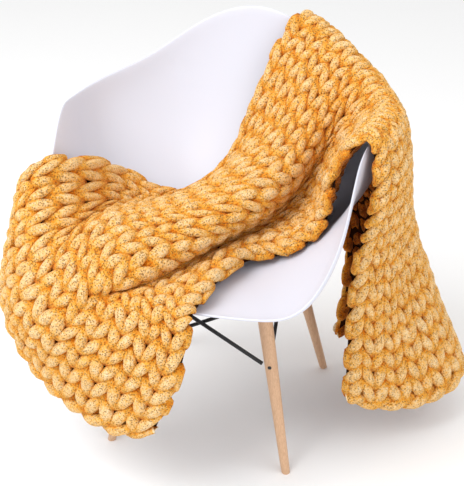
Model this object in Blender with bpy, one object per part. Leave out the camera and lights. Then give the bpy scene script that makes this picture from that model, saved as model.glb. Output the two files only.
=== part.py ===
"""Chunky knit blanket draped over a plain tub chair.

The chair faces -Y and stands on the floor at z = 0.  The blanket is one long
knitted sheet.  Its tail hangs outside the chair's right-hand arm (+X), it
runs down the inside of the back, across the seat and out over the left-hand
arm and the front left corner, where its other end hangs.

All sizes are in metres.  The tables below are in centimetres.
"""
import math

import bmesh
import bpy
import numpy as np
from mathutils import Vector
from mathutils.bvhtree import BVHTree

CM = 0.01
GAP = 0.0004            # air left between pieces that touch

# ---------------------------------------------------------------- the chair
SHELL_WALL = 0.005      # moulded plastic wall
SEAT_LOW = (0.0, -1.0, 41.5)   # lowest point of the seat's upper face, cm
SHELL_AROUND = 64       # steps round the rim
SHELL_DOWN = 12         # steps from the seat's low point up to the rim

# The rim, from the middle of the front edge round to the middle of the back.
# angle is in degrees round the seat; x, y and z are in cm.  The left half
# mirrors the right half.
RIM = (
    # name        angle    x      y      z
    ("front",      0,    0.0, -27.5,  42.5),
    ("lip",       25,   15.0, -27.0,  42.8),
    ("corner",    50,   24.0, -23.5,  46.5),
    ("arm_rise",  68,   28.0, -17.0,  57.5),
    ("arm_tip",   85,   29.0,  -8.5,  68.5),
    ("arm",      105,   31.5,   3.0,  68.5),
    ("arm_root", 128,   28.5,  14.0,  69.5),
    ("shoulder", 145,   21.0,  21.2,  72.6),
    ("crown",    163,   12.0,  26.2,  78.8),
    ("top",      180,    0.0,  28.2,  82.8),
)
# How square the wall's section is: 2.6 stands up steeply, 1.6 leans back.
WALL_ANGLE = (0.0, 50.0, 90.0, 130.0, 180.0)
WALL_POWER = (2.6, 2.5, 2.2, 1.9, 1.6)

PLATE_TOP = 0.3950      # steel spider plate under the seat
PLATE_THICK = 0.0060
PLATE_ARM = 0.034       # width of each of its four arms
LEG_TOP_XY = 0.110      # leg axis under the plate, each way from the middle
LEG_FOOT_XY = 0.190     # leg axis on the floor
LEG_MID_Y = 0.020       # how far the plate's middle sits behind x = y = 0
LEG_SIDES = 20
# Turned profile of a leg: part of the height, then radius in mm.
LEG_PROFILE = (
    (0.00, 8.5), (0.03, 9.2), (0.30, 11.0), (0.60, 13.5), (0.86, 15.2),
    (1.00, 15.2),
)
BRACE_RADIUS = 0.004    # black steel rods between the legs
BRACE_SIDES = 10
BRACE_HIGH = 0.350      # where a rod meets the leg it starts from
BRACE_LOW = 0.220       # where it meets the next leg
BRACE_PASS = 0.0052     # each rod's axis is this far off the middle plane
PAD_RADIUS = 0.018      # rubber mounts between the plate and the shell
PAD_X, PAD_Y = 0.055, 0.045

# -------------------------------------------------------------- the blanket
CLOTH_HALF = 0.0115     # half of the knit's thickness
CLOTH_AIR = 0.0045      # air between the knit and the chair
CLOTH_LEAST = 0.004     # half thickness left in the tightest fold
BEND_OPEN = 0.022       # a fold's middle turns no tighter than about this
BEND_TIGHT = 0.010
CLOTH_LONG = 72         # faces along its length
CLOTH_WIDE = 32         # faces across its width
BEND_SPACING = 0.035    # how much closer they stand where the sheet bends

# Nine lines run along the blanket from its back edge to its front edge.
LINES = ("back_edge", "valley", "rise", "crest", "brow", "tuck", "under",
         "lower", "front_edge")
# One row for each section across the blanket, from the end of the tail to
# the other hem.  Each entry is the point (x, y, z) in cm where that section
# crosses the line in the same place in LINES.
SECTIONS = (
    ("tail_hem", (21, 18, 10), (30, 24, 11), (40, 25, 11),
     (48, 21, 10), (50, 11.5, 8.5), (44, 2.5, 8),
     (38.5, -2, 9), (33, -5, 10.5), (28, -8, 14)),
    ("tail_low", (22, 21, 29), (28, 25, 29), (35, 25, 28),
     (40.5, 20, 28), (42, 11.5, 27), (38.5, 4.5, 27),
     (36, 0, 27), (33, -4, 28), (28, -8, 30)),
    ("tail_waist", (17, 27.5, 50), (22.5, 27, 49), (28, 24.5, 48),
     (33, 20, 48), (35.5, 14, 47), (35.5, 8, 47),
     (34.5, 2, 47), (32.5, -3.5, 48), (29.5, -8.5, 49)),
    ("outside", (11, 31.3, 73), (17, 29.5, 70), (23.3, 26, 67),
     (28.5, 21.5, 65), (32.3, 16, 63.5), (34.2, 9.8, 63),
     (34.7, 4, 63), (34.2, -2, 63), (31.8, -8.2, 62)),
    ("arm_top", (8.5, 28.2, 82.3), (12.8, 27.2, 80.6), (17.2, 25, 78.1),
     (21.4, 21.9, 75.7), (25.4, 18.2, 73.6), (28.9, 13.6, 72),
     (31.3, 8.7, 71.5), (31.5, 1, 71.4), (29.5, -8.3, 70.6)),
    ("arm_in", (7, 26, 80), (11, 24.8, 78.5), (15.2, 22.5, 76.2),
     (19, 19.7, 73.9), (22.3, 16.8, 71), (25.3, 13.3, 68.3),
     (27.5, 8.5, 68.2), (28, 1, 68.6), (26.4, -7.8, 68.4)),
    ("back", (5, 23.5, 76), (9, 22, 75), (13, 19, 73),
     (16.5, 16.5, 70), (19, 14.5, 66), (21, 13.2, 61.2),
     (22.8, 8, 61), (24, 1.5, 61.8), (23.3, -7, 61.5)),
    ("back_low", (1.5, 18.5, 66), (4.5, 16.5, 65), (8, 13.5, 64),
     (11.5, 9.5, 62.5), (14.8, 6.5, 58), (14, 9.5, 52.8),
     (17.8, 6, 51.5), (20.8, 0, 52.8), (22.3, -7.5, 52.3)),
    ("seat_right", (-1.5, 13.2, 56), (0.5, 9.3, 54.6), (2.5, 4, 56.5),
     (6, -1, 57), (10.3, -3.5, 54.2), (8, 0.5, 47.2),
     (11.3, 0, 45.8), (13.8, -3.5, 47.3), (15.6, -8.5, 45.6)),
    ("seat_mid", (-7.7, 8.5, 49.8), (-8.5, 4.5, 48.3), (-7, -2, 51.5),
     (-2.5, -9.5, 53.5), (3.4, -10.5, 50.8), (1, -6.3, 45.6),
     (4, -6, 43.9), (6.4, -8, 45.3), (8.6, -10.8, 43.9)),
    ("seat_left", (-15.5, 6.5, 49.9), (-15.7, 1.5, 48), (-14.5, -7, 50.5),
     (-10, -15.5, 52.5), (-3.2, -19, 48.3), (-4.3, -17, 44.6),
     (-1, -18.2, 43.9), (2.3, -20.4, 45), (5.4, -23, 43.9)),
    ("left_wall", (-23.2, 3, 55.2), (-20.8, -4.5, 51.3), (-19.8, -13.5, 51.2),
     (-16.5, -21, 52), (-9.3, -27.5, 47.8), (-9.3, -26.3, 44.6),
     (-5, -27.5, 44.3), (0, -29.4, 44.1), (5, -30.5, 43.6)),
    ("left_in", (-25.5, -9, 61.8), (-24, -13.5, 56.5), (-22.3, -19.3, 51.8),
     (-20.3, -25.3, 50.2), (-14.5, -30, 46.5), (-13.5, -29.6, 44.4),
     (-8, -30.6, 43.5), (-2.5, -31.2, 42.5), (4.5, -31.7, 40.5)),
    ("left_rim", (-28.5, -16.2, 64.3), (-28.8, -20, 58), (-27, -24.2, 51.8),
     (-23.8, -28.3, 46.8), (-19, -31.2, 42), (-16.5, -31.4, 40.3),
     (-11, -32.2, 38.3), (-4.5, -32.7, 36.8), (3.5, -33, 33.8)),
    ("left_drop", (-32, -16.8, 61.5), (-32.9, -20, 54), (-32.7, -24.5, 46),
     (-30, -28.7, 39.8), (-25, -31.2, 35.5), (-20, -31.8, 33.2),
     (-14, -32.7, 31.3), (-6.5, -33.2, 29.5), (1.2, -33.3, 26)),
    ("hem", (-32, -15.3, 55), (-34.8, -17, 48), (-37.5, -19.2, 40),
     (-37.7, -20.8, 32), (-34.5, -23.2, 25.3), (-29, -26, 20.2),
     (-21.5, -29, 16.8), (-11.5, -32, 15), (-2.3, -33, 17.8)),
)


def fresh_scene():
    for obj in list(bpy.data.objects):
        bpy.data.objects.remove(obj, do_unlink=True)


def material(name, hex_color, roughness, metallic=0.0):
    mat = bpy.data.materials.new(name)
    mat.use_nodes = True
    shader = mat.node_tree.nodes["Principled BSDF"]
    rgb = [int(hex_color[i:i + 2], 16) / 255 for i in (1, 3, 5)]
    linear = [c / 12.92 if c < 0.04045 else ((c + 0.055) / 1.055) ** 2.4
              for c in rgb]
    shader.inputs["Base Color"].default_value = (*linear, 1.0)
    shader.inputs["Roughness"].default_value = roughness
    shader.inputs["Metallic"].default_value = metallic
    return mat


def add_object(name, bm, mat, smooth_angle=35.0):
    bmesh.ops.recalc_face_normals(bm, faces=bm.faces[:])
    mesh = bpy.data.meshes.new(name)
    bm.to_mesh(mesh)
    bm.free()
    mesh.materials.append(mat)
    mesh.shade_smooth()
    mesh.set_sharp_from_angle(angle=math.radians(smooth_angle))
    obj = bpy.data.objects.new(name, mesh)
    bpy.context.scene.collection.objects.link(obj)
    return obj


def natural_spline(knots, values, at):
    """Cubic spline with free ends through values[i] at knots[i]."""
    knots = np.asarray(knots, float)
    values = np.asarray(values, float)
    flat = values.reshape(len(knots), -1)
    n, h = len(knots), np.diff(knots)
    system, right = np.eye(n), np.zeros_like(flat)
    for i in range(1, n - 1):
        system[i, i - 1:i + 2] = h[i - 1], 2 * (h[i - 1] + h[i]), h[i]
        right[i] = 6 * ((flat[i + 1] - flat[i]) / h[i]
                        - (flat[i] - flat[i - 1]) / h[i - 1])
    bend = np.linalg.solve(system, right)
    k = np.clip(np.searchsorted(knots, at, side="right") - 1, 0, n - 2)
    a = ((knots[k + 1] - at) / h[k])[:, None]
    b = 1 - a
    step = (h[k] ** 2 / 6)[:, None]
    out = (a * flat[k] + b * flat[k + 1]
           + ((a ** 3 - a) * bend[k] + (b ** 3 - b) * bend[k + 1]) * step)
    return out.reshape((len(at),) + values.shape[1:])


# ------------------------------------------------------------- chair pieces
def rim_points(angles):
    """Points of the rim at the given angles, both sides alike."""
    half_angle = [row[1] for row in RIM]
    half = [row[2:] for row in RIM]
    flip = [(-x, y, z) for x, y, z in half]
    angle = ([-a for a in half_angle[:0:-1]] + half_angle
             + [360 - a for a in half_angle[-2::-1]])
    points = flip[:0:-1] + half + flip[-2::-1]
    turned = np.abs((np.asarray(angles, float) + 180) % 360 - 180)
    side = np.sign((np.asarray(angles, float) + 180) % 360 - 180)
    rim = natural_spline(angle, np.array(points) * CM, turned)
    rim[:, 0] *= np.where(side == 0, 1, side)
    return rim


def shell_face(around, down):
    """Grid of points on the seat's upper face: [round][low point to rim]."""
    angles = np.arange(around) * 360.0 / around
    rim = rim_points(angles)
    low = np.array(SEAT_LOW) * CM
    turned = np.abs((angles + 180) % 360 - 180)
    power = np.interp(turned, WALL_ANGLE, WALL_POWER)[:, None]
    swing = (np.arange(1, down + 1) / down * math.pi / 2)[None, :]
    out = np.sin(swing) ** (2 / power)
    up = 1 - np.maximum(np.cos(swing), 0.0) ** (2 / power)
    grid = np.zeros((around, down, 3))
    grid[:, :, :2] = low[:2] + (rim[:, None, :2] - low[:2]) * out[..., None]
    grid[:, :, 2] = low[2] + (rim[:, None, 2] - low[2]) * up
    return grid


def grid_normals(grid, closed_round):
    """Unit normals of a grid of points, from its central differences."""
    if closed_round:
        first = np.roll(grid, -1, 0) - np.roll(grid, 1, 0)
    else:
        first = np.gradient(grid, axis=0)
    normal = np.cross(first, np.gradient(grid, axis=1))
    return normal / np.linalg.norm(normal, axis=-1, keepdims=True)


def make_shell(mat):
    inner = shell_face(SHELL_AROUND, SHELL_DOWN)
    normal = grid_normals(inner, True)
    centre = Vector(np.array(SEAT_LOW) * CM)
    away = np.sign((normal * (inner - np.array([0, 0, 1.5]))).sum(-1))
    outer = inner + normal * away[..., None] * SHELL_WALL
    bm = bmesh.new()
    top = [[bm.verts.new(p) for p in row] for row in inner]
    under = [[bm.verts.new(p) for p in row] for row in outer]
    top_mid = bm.verts.new(centre)
    under_mid = bm.verts.new(centre - Vector((0, 0, SHELL_WALL)))
    for i in range(SHELL_AROUND):
        j = (i + 1) % SHELL_AROUND
        bm.faces.new((top_mid, top[i][0], top[j][0]))
        bm.faces.new((under_mid, under[j][0], under[i][0]))
        bm.faces.new((top[i][-1], top[j][-1], under[j][-1], under[i][-1]))
        for k in range(SHELL_DOWN - 1):
            bm.faces.new((top[i][k], top[j][k], top[j][k + 1],
                          top[i][k + 1]))
            bm.faces.new((under[j][k], under[i][k], under[i][k + 1],
                          under[j][k + 1]))
    bmesh.ops.triangulate(bm, faces=bm.faces[:])
    return add_object("chair_shell", bm, mat, 50)


def ring(bm, centre, radius, across, upward, sides):
    return [bm.verts.new(centre + (across * math.cos(t) + upward
                                   * math.sin(t)) * radius)
            for t in (2 * math.pi * k / sides for k in range(sides))]


def loft(bm, rings):
    """Close a stack of equal rings into one solid with flat ends."""
    sides = len(rings[0])
    for low, high in zip(rings, rings[1:]):
        for k in range(sides):
            m = (k + 1) % sides
            bm.faces.new((low[k], low[m], high[m], high[k]))
    bm.faces.new(rings[0][::-1])
    bm.faces.new(rings[-1])


def leg_axis(side_x, side_y, height):
    part = height / (PLATE_TOP - PLATE_THICK)
    reach = LEG_FOOT_XY + (LEG_TOP_XY - LEG_FOOT_XY) * part
    return Vector((side_x * reach, LEG_MID_Y + side_y * reach, height))


def make_leg(name, side_x, side_y, mat):
    top = PLATE_TOP - PLATE_THICK - GAP
    bm = bmesh.new()
    rings = [ring(bm, leg_axis(side_x, side_y, top * part), radius / 1000,
                  Vector((1, 0, 0)), Vector((0, 1, 0)), LEG_SIDES)
             for part, radius in LEG_PROFILE]
    loft(bm, rings)
    return add_object(name, bm, mat)


def leg_radius(height):
    parts, radii = zip(*LEG_PROFILE)
    top = PLATE_TOP - PLATE_THICK - GAP
    return float(np.interp(height / top, parts, radii)) / 1000


def make_brace(name, start, end, push, mat):
    """A rod from high on one leg to lower on the next.

    start and end are (side_x, side_y); push moves the rod off the plane of
    the two legs so that the pair of rods can cross.
    """
    high = leg_axis(*start, BRACE_HIGH)
    low = leg_axis(*end, BRACE_LOW)
    along = (low - high).normalized()
    clear = BRACE_RADIUS + 0.003
    high += along * (leg_radius(BRACE_HIGH) + clear)
    low -= along * (leg_radius(BRACE_LOW) + clear)
    offset = Vector(push) * BRACE_PASS
    across = along.orthogonal().normalized()
    upward = along.cross(across)
    bm = bmesh.new()
    loft(bm, [ring(bm, point + offset, BRACE_RADIUS, across, upward,
                   BRACE_SIDES) for point in (high, low)])
    return add_object(name, bm, mat)


def make_plate(mat):
    """Flat steel spider: four arms from the middle, one over each leg."""
    reach = LEG_TOP_XY + 0.017
    half = PLATE_ARM / 2 * math.sqrt(2)
    outline = []
    for quarter in range(4):
        turn = math.radians(90 * quarter)
        for x, y in ((half, 0), (reach, reach - half), (reach, reach),
                     (reach - half, reach)):
            outline.append((x * math.cos(turn) - y * math.sin(turn),
                            x * math.sin(turn) + y * math.cos(turn)
                            + LEG_MID_Y))
    bm = bmesh.new()
    floor = [bm.verts.new((x, y, PLATE_TOP - PLATE_THICK))
             for x, y in outline]
    face = bm.faces.new(floor)
    lifted = bmesh.ops.extrude_face_region(bm, geom=[face])["geom"]
    verts = [item for item in lifted if isinstance(item, bmesh.types.BMVert)]
    bmesh.ops.translate(bm, verts=verts, vec=(0, 0, PLATE_THICK))
    return add_object("seat_plate", bm, mat)


def make_pad(name, x, y, under, mat):
    """Rubber mount: a disc from the plate up to the shell's underside."""
    probes = [Vector((x + PAD_RADIUS * math.cos(t), y + PAD_RADIUS
                      * math.sin(t), 0.2))
              for t in (2 * math.pi * k / 12 for k in range(12))]
    probes.append(Vector((x, y, 0.2)))
    top = min(under.ray_cast(p, Vector((0, 0, 1)))[0].z for p in probes)
    bm = bmesh.new()
    loft(bm, [ring(bm, Vector((x, y, z)), PAD_RADIUS, Vector((1, 0, 0)),
                   Vector((0, 1, 0)), 24)
              for z in (PLATE_TOP + GAP, top - GAP)])
    return add_object(name, bm, mat)


# ------------------------------------------------------------- the blanket
def chord_knots(points, axis):
    """Knots that give each interval the square root of its mean length."""
    length = np.linalg.norm(np.diff(points, axis=axis), axis=-1)
    mean = length.mean(axis=1 - axis)
    return np.concatenate([[0.0], np.cumsum(np.sqrt(mean))])


def cloth_middle():
    """Middle surface of the knit: [tail to hem][back edge to front edge]."""
    points = np.array([row[1:] for row in SECTIONS], float) * CM
    knots = chord_knots(points, 0)
    fine = natural_spline(knots, points, np.linspace(0, knots[-1], 1201))
    rows = fine[even_steps(fine, CLOTH_LONG)].transpose(1, 0, 2)
    knots = chord_knots(points, 1)
    grid = natural_spline(knots, rows, np.linspace(0, knots[-1],
                                                   CLOTH_WIDE + 1))
    return grid.transpose(1, 0, 2)


def even_steps(fine, count):
    """Rows of a fine grid, closer together where the sheet bends."""
    step = np.diff(fine, axis=0)
    length = np.linalg.norm(step, axis=-1, keepdims=True)
    turn = np.linalg.norm(np.diff(step / length, axis=0), axis=-1)
    weight = length[1:, :, 0] + BEND_SPACING * turn
    total = np.concatenate([[0.0, 0.0], np.cumsum(weight.mean(axis=1))])
    total[1] = total[2] / 2
    wanted = np.linspace(0, total[-1], count + 1)
    return np.searchsorted(total, wanted).clip(0, len(fine) - 1)


def smooth_field(field, rounds):
    """Average a grid with its neighbours, edges kept in."""
    for _ in range(rounds):
        wide = np.pad(field, [(1, 1), (1, 1)] + [(0, 0)] * (field.ndim - 2),
                      mode="edge")
        field = (wide[1:-1, 1:-1] * 4 + wide[:-2, 1:-1] + wide[2:, 1:-1]
                 + wide[1:-1, :-2] + wide[1:-1, 2:]) / 8
    return field


def lift_clear(grid, chair, clear):
    """Move the sheet off the chair until it is clear of it everywhere."""
    for _ in range(12):
        push = np.zeros_like(grid)
        for i, j in np.ndindex(grid.shape[:2]):
            point = Vector(grid[i, j])
            near, _, _, distance = chair.find_nearest(point)
            if distance < clear:
                push[i, j] = ((point - near).normalized()
                              * (clear - distance))
        if not push.any():
            break
        grid = grid + np.where(np.abs(push) > 0, push, smooth_field(push, 2))
    return grid


def bend_radius(grid):
    """Tightest radius of the sheet at each point, in any direction."""
    along, across = np.gradient(grid, axis=0), np.gradient(grid, axis=1)
    along2, across2 = np.gradient(along, axis=0), np.gradient(across, axis=1)
    twist = np.gradient(along, axis=1)
    along2[1:-1] = grid[2:] - 2 * grid[1:-1] + grid[:-2]
    across2[:, 1:-1] = grid[:, 2:] - 2 * grid[:, 1:-1] + grid[:, :-2]
    normal = grid_normals(grid, False)

    def dot(a, b):
        return (a * b).sum(-1)

    e, f, g = dot(along, along), dot(along, across), dot(across, across)
    p, q, r = dot(along2, normal), dot(twist, normal), dot(across2, normal)
    size = np.maximum(e * g - f * f, 1e-12)
    mean = (e * r - 2 * f * q + g * p) / (2 * size)
    gauss = (p * r - q * q) / size
    most = np.abs(mean) + np.sqrt(np.maximum(mean ** 2 - gauss, 0))
    return 1 / np.maximum(most, 1.0)


def ease_folds(grid, rounds):
    """Open out any fold that turns tighter than the knit can bend."""
    for _ in range(rounds):
        tight = np.clip((BEND_OPEN - bend_radius(grid)) / BEND_TIGHT, 0, 1)
        share = smooth_field(tight, 2)[..., None] * 0.5
        grid = grid + share * (smooth_field(grid, 1) - grid)
    return grid


def smallest_near(field):
    """Each value becomes the smallest within one step of it."""
    wide = np.pad(field, 1, mode="edge")
    rows, cols = field.shape
    return np.min([wide[i:i + rows, j:j + cols]
                   for i in range(3) for j in range(3)], axis=0)


def cloth_half(grid, normal):
    """Half thickness: full in the open, pressed thinner in a tight fold."""
    rows, cols = grid.shape[:2]
    sheet = BVHTree.FromPolygons(
        [Vector(p) for p in grid.reshape(-1, 3)],
        [(i * cols + j, (i + 1) * cols + j, (i + 1) * cols + j + 1,
          i * cols + j + 1)
         for i in range(rows - 1) for j in range(cols - 1)])
    half = np.minimum(CLOTH_HALF, 0.6 * bend_radius(grid))
    for i, j in np.ndindex(rows, cols):
        for side in (1, -1):
            away = Vector(normal[i, j]) * side
            hit = sheet.ray_cast(Vector(grid[i, j]) + away * 0.002, away,
                                 4 * CLOTH_HALF)
            if hit[0] is not None:
                half[i, j] = min(half[i, j], 0.4 * (hit[3] + 0.002))
    half = np.maximum(half, CLOTH_LEAST)
    return np.minimum(smooth_field(smallest_near(half), 3), half)


def make_blanket(chair, mat):
    middle = ease_folds(cloth_middle(), 12)
    for _ in range(3):
        middle = lift_clear(middle, chair, CLOTH_HALF + CLOTH_AIR)
        middle = ease_folds(middle, 3)
    middle = lift_clear(middle, chair, CLOTH_HALF + CLOTH_AIR)
    normal = grid_normals(middle, False)
    half = cloth_half(middle, normal)[..., None]
    edge = np.ones(middle.shape[:2])
    edge[[0, -1], :] = 0.6
    edge[:, [0, -1]] = 0.6
    half = half * edge[..., None]
    bm = bmesh.new()
    faces = [[[bm.verts.new(p) for p in row] for row in middle
              + normal * half * side] for side in (1, -1)]
    upper, lower = faces
    rows, cols = middle.shape[:2]
    for i in range(rows - 1):
        for j in range(cols - 1):
            bm.faces.new((upper[i][j], upper[i + 1][j], upper[i + 1][j + 1],
                          upper[i][j + 1]))
            bm.faces.new((lower[i][j], lower[i][j + 1], lower[i + 1][j + 1],
                          lower[i + 1][j]))
    border = ([(i, 0) for i in range(rows - 1)]
              + [(rows - 1, j) for j in range(cols - 1)]
              + [(i, cols - 1) for i in range(rows - 1, 0, -1)]
              + [(0, j) for j in range(cols - 1, 0, -1)])
    for (i, j), (m, n) in zip(border, border[1:] + border[:1]):
        bm.faces.new((upper[i][j], lower[i][j], lower[m][n], upper[m][n]))
    bmesh.ops.triangulate(bm, faces=bm.faces[:])
    return add_object("blanket", bm, mat, 180)


def stand_on_origin():
    """Put the middle of the whole object's base at the origin."""
    objects = list(bpy.context.scene.collection.objects)
    corners = np.array([v.co[:] for obj in objects
                        for v in obj.data.vertices])
    low, high = corners.min(0), corners.max(0)
    shift = Vector((-(low[0] + high[0]) / 2, -(low[1] + high[1]) / 2,
                    -low[2]))
    for obj in objects:
        for vert in obj.data.vertices:
            vert.co += shift


def main():
    fresh_scene()
    knit = material("chunky_chenille", "#E8A83E", 0.95)
    plastic = material("white_plastic", "#EDECF0", 0.35)
    wood = material("pale_wood", "#D6AA80", 0.5)
    steel = material("black_steel", "#18181A", 0.45, 0.6)
    rubber = material("black_rubber", "#1C1C1C", 0.8)

    shell = make_shell(plastic)
    chair = BVHTree.FromPolygons(
        [v.co.copy() for v in shell.data.vertices],
        [list(face.vertices) for face in shell.data.polygons])
    make_plate(steel)
    for index, (x, y) in enumerate(((-1, -1), (1, -1), (1, 1), (-1, 1))):
        make_pad("mount_pad_%d" % (index + 1), x * PAD_X,
                 LEG_MID_Y + y * PAD_Y, chair, rubber)
    feet = {"front_left": (-1, -1), "front_right": (1, -1),
            "rear_right": (1, 1), "rear_left": (-1, 1)}
    for name, (x, y) in feet.items():
        make_leg("leg_" + name, x, y, wood)
    for name, first, second, push in (
            ("front", "front_left", "front_right", (0, -1, 0)),
            ("rear", "rear_left", "rear_right", (0, 1, 0)),
            ("left", "front_left", "rear_left", (-1, 0, 0)),
            ("right", "front_right", "rear_right", (1, 0, 0))):
        outward = Vector(push)
        make_brace("brace_%s_a" % name, feet[first], feet[second], outward,
                   steel)
        make_brace("brace_%s_b" % name, feet[second], feet[first], -outward,
                   steel)
    make_blanket(chair, knit)
    stand_on_origin()


main()
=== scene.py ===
"""Chunky knit blanket draped over a plain tub chair: the visible model.

The blanket is knitted flat from one thick chenille yarn, row by row, and then
laid on the same draped surface that its solid has.
"""
import math

import bmesh
import bpy
import numpy as np
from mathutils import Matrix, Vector, noise
from mathutils.bvhtree import BVHTree


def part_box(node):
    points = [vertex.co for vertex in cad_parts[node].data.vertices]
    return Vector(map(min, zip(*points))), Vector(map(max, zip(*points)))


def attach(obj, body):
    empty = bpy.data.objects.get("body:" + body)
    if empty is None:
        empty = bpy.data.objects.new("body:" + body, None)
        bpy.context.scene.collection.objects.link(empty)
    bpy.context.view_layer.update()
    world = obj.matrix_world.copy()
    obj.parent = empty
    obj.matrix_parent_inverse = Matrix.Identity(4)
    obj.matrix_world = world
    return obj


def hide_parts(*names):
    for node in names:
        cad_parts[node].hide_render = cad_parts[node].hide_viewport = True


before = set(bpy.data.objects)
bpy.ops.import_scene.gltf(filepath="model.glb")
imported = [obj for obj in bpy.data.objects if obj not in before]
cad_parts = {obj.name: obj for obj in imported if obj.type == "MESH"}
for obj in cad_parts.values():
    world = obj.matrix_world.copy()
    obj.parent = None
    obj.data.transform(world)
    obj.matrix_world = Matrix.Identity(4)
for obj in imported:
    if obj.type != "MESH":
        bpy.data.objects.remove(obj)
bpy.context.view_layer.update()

bl_info = {
    "name": "Chunky Knit Blanket on a Chair",
    "version": (1, 0, 0),
    "blender": (4, 5, 0),
    "location": "View3D > Sidebar > Blanket",
    "description": "Knits a chunky blanket and drapes it over a tub chair",
    "category": "Add Mesh",
}

CM = 0.01


def mm(value):
    """Millimetres to metres."""
    return value / 1000


# ------------------------------------------------------ the draped surface
# This is the same surface that the blanket's solid is made round.
CLOTH_HALF = 0.0115     # half of the knit's thickness
CLOTH_AIR = 0.0045      # air between the knit and the chair
CLOTH_LEAST = 0.004     # half thickness left in the tightest fold
BEND_OPEN = 0.022       # a fold's middle turns no tighter than about this
BEND_TIGHT = 0.010      # a fold that is this much tighter is eased the most
BEND_SPACING = 0.035    # how much closer the rows stand where it bends
CLOTH_LONG = 72         # steps along its length
CLOTH_WIDE = 32         # steps across its width
SPLINE_STEPS = 1201     # points along it that its rows are chosen from
EASE_ROUNDS = 12        # how often its folds are eased before it is lifted
SETTLE_ROUNDS = 3       # how often it is then lifted and eased in turn
SETTLE_EASE = 3         # how often it is eased each of those times
LIFT_ROUNDS = 12        # most steps that one lift may take
BEND_SHARE = 0.6        # most half thickness, as a share of the bend's radius
FOLD_SHARE = 0.4        # most half thickness, as a share of a fold's gap
PROBE_START = 0.002     # how far off the sheet a fold's gap is measured from
FINE_ROWS, FINE_COLUMNS = 700, 300      # grid that even rows are taken from
DRAPE_ROWS, DRAPE_COLUMNS = 420, 160    # grid that the knit is laid on
SEAT_MID_Y = 0.020      # the seat plate's middle, in the tables' own frame

# ---------------------------------------------------------------- the knit
ROWS_PER_PIECE = 11
STRAY_ACROSS = mm(2.2)  # how far a strand strays sideways
STRAY_DEPTH = mm(1.3)   # how far it strays towards the front or back
STRAY_REACH = 0.07      # how much the height of a stitch varies
STRAY_PLUMP = 0.05      # how much the yarn's thickness varies
PINCH = 0.08            # how much thinner the yarn is where it goes behind
TURN_STEPS = 8          # the yarn's turn at the end of a row
TURN_OUT = mm(5)
TURN_LIFT = mm(6)
TURN_PLUMP = 0.92
RIM_LIGHT_WIDTH = mm(26)      # the edge of the panel, where a painted highlight is added
BACK_PRESS = 0.78       # thickness left on the side that lies on the chair
TUFTS = ((mm(1.0), 110), (mm(0.8), 240))    # height, and number in a metre
EDGE_STEPS = 240
EDGE_PLACE = 0.7        # middle of a twisted edge, as a share of the margin
EDGE_INSET = 0.8        # where it starts, as a share of the side margin
EDGE_SPREAD = 0.7       # how far apart its strands lie, in their own radius
EDGE_DEPTH = 0.6        # how far they go in front and behind, likewise
# Painted shade: the yarn's colour is painted darker where rays from it soon
# meet other yarn.
SHADE_RAY_REACH = 0.110      # how far the rays reach that set the painted shade
SHADE_RAY_START = mm(1.5)
SHADE_RAY_TILT = 0.8         # slope of the four tilted lines of sight
SHADE_RAY_TURNS = (0.6, 2.2, 3.7, 5.3)       # the way each one leans, in radians
# The dark sheet of painted shadow that fills the knit's gaps.
SHADOW_SHEET_WIDE, SHADOW_SHEET_LONG = 64, 150      # faces across and along
SHADOW_SHEET_INSET = 0.8      # share of the side margin
SHADOW_SHEET_HEIGHT = mm(-5)
SHADOW_SHEET_THICK = mm(2)

# --------------------------------------------------------------- the chair
FOOT_RADIUS = 0.0085    # of a leg, at the floor
HEAD_RADIUS = 0.0152    # of a leg, under the seat
SHELL_LEVELS = 2        # how often the shell's mesh is smoothed
MERGE = mm(0.01)
FLAT_ANGLE = math.radians(25)   # triangles this flat become one face
SHAPE_ANGLE = math.radians(35)
SHARP_ANGLE = math.radians(40)  # a sharper edge is rounded
EDGE_ROUND = mm(0.8)
BOLT_HEIGHTS = (0.227, 0.342)   # where the rods meet the legs
BOLT_RADIUS = mm(5.5)
BOLT_TOP = mm(3.6)      # radius of the flat on its head
BOLT_TALL = mm(5)
BOLT_SUNK = mm(1.0)
BOLT_ROUND = mm(0.9)
BOLT_SHARP = 0.6        # an edge that turns more than this is rounded

# -------------------------------------------------------------- the studio
FLOOR_HALF = 12
# Name, place, size, and share of the key lamp's power.
SOFTBOXES = (("key_softbox", (-1.6, -1.6, 3.2), 2.4, 1.0),
             ("fill_softbox", (2.6, -0.8, 2.2), 2.6, 0.25))

LINES = ("back_edge", "valley", "rise", "crest", "brow", "tuck", "under",
         "lower", "front_edge")
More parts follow.
